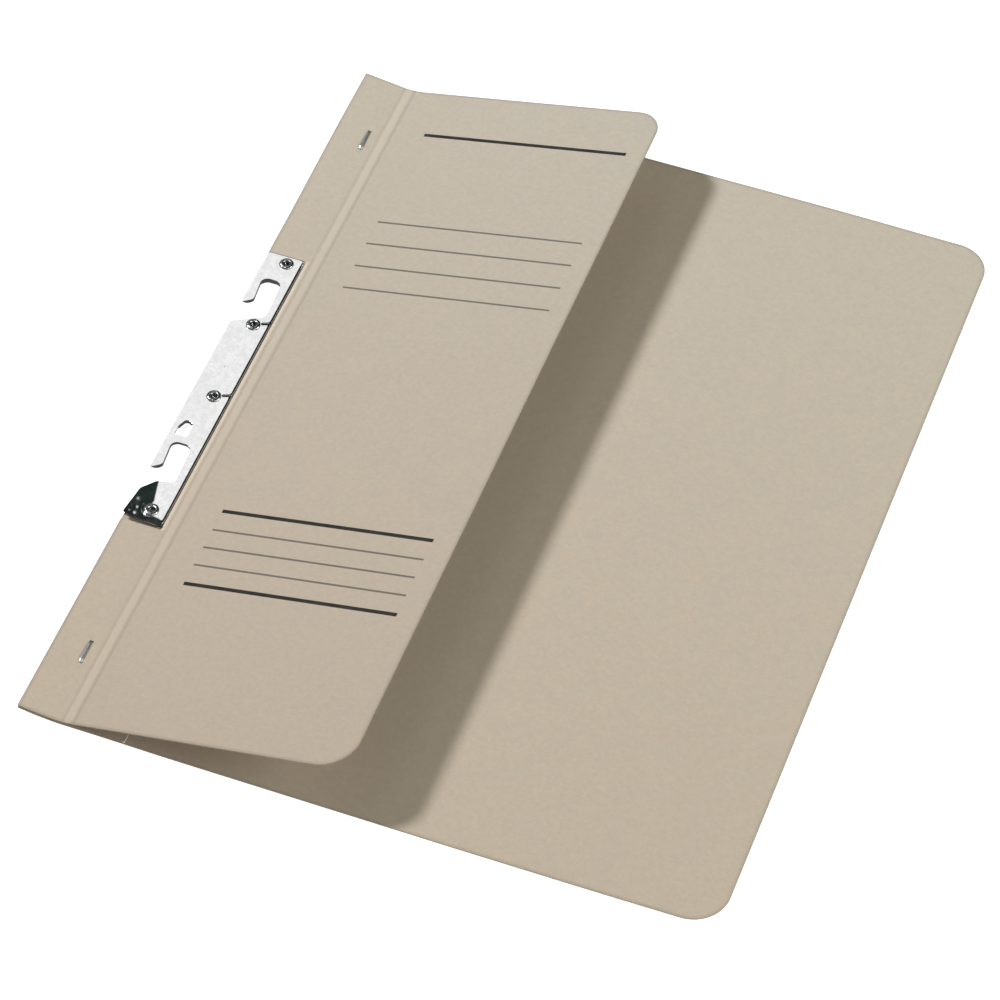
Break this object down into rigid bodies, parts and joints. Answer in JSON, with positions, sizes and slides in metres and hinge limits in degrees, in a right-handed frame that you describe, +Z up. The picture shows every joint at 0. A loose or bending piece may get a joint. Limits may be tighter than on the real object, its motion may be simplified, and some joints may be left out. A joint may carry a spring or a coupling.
{
  "type": "hook-in fastener folder",
  "caption": "Card folder with a half-width hinged front cover, a riveted metal rail with J-shaped ring hooks at the spine, and a prong filing fastener with locking sliders inside.",
  "frame": {"origin": "middle of the sheet's width and height, at the level of the surface that the folder lies on", "axes": "+X from the spine to the fore edge, +Y from the foot to the head, +Z up, out of the back cover towards the front cover"},
  "size_m": [0.238, 0.305, 0.025],
  "materials": {
    "card": "matte buff card",
    "card_inner": "matte buff card",
    "rail_metal": "bright nickel plate",
    "rivet_metal": "bright plated steel",
    "staple_wire": "galvanised wire",
    "tinplate": "tinplate"
  },
  "bodies": {
    "folder_back": {"back_cover": "card", "inner_binding_strip": "card_inner", "front_spine_strip": "card", "hook_rail": "rail_metal", "rivet_1": "rivet_metal", "rivet_2": "rivet_metal", "rivet_3": "rivet_metal", "rivet_4": "rivet_metal", "staple_upper": "staple_wire", "staple_lower": "staple_wire", "prong_base": "tinplate", "cover_bar": "tinplate"},
    "hinge_band": {"front_hinge_band": "card"},
    "front_cover": {"front_cover": "card"},
    "prong_upper": {"prong_upper": "tinplate"},
    "prong_lower": {"prong_lower": "tinplate"},
    "slider_upper": {"slider_upper": "tinplate"},
    "slider_lower": {"slider_lower": "tinplate"}
  },
  "joints": [
    {"name": "cover_score_1", "type": "hinge", "parent": "folder_back", "child": "hinge_band", "pos_m": [-0.1032, 0, 0.00215], "axis": [0, -1, 0], "range_deg": [0, 83]},
    {"name": "cover_score_2", "type": "hinge", "parent": "hinge_band", "child": "front_cover", "pos_m": [-0.09962, 0, 0.00257], "axis": [0, -1, 0], "range_deg": [0, 83]},
    {"name": "prong_upper_bend", "type": "hinge", "parent": "folder_back", "child": "prong_upper", "pos_m": [-0.087, 0.04, 0.0024], "axis": [-1, 0, 0], "range_deg": [0, 90]},
    {"name": "prong_lower_bend", "type": "hinge", "parent": "folder_back", "child": "prong_lower", "pos_m": [-0.087, -0.04, 0.0024], "axis": [1, 0, 0], "range_deg": [0, 90]},
    {"name": "slider_upper_slide", "type": "slide", "parent": "folder_back", "child": "slider_upper", "axis": [0, 1, 0], "range_m": [0, 0.012]},
    {"name": "slider_lower_slide", "type": "slide", "parent": "folder_back", "child": "slider_lower", "axis": [0, -1, 0], "range_m": [0, 0.012]}
  ],
  "couplings": [
    {"joint": "cover_score_2", "follows": "cover_score_1", "ratio": 1},
    {"joint": "prong_upper_bend", "follows": "cover_score_1", "ratio": 1.08},
    {"joint": "prong_lower_bend", "follows": "cover_score_1", "ratio": 1.08}
  ]
}
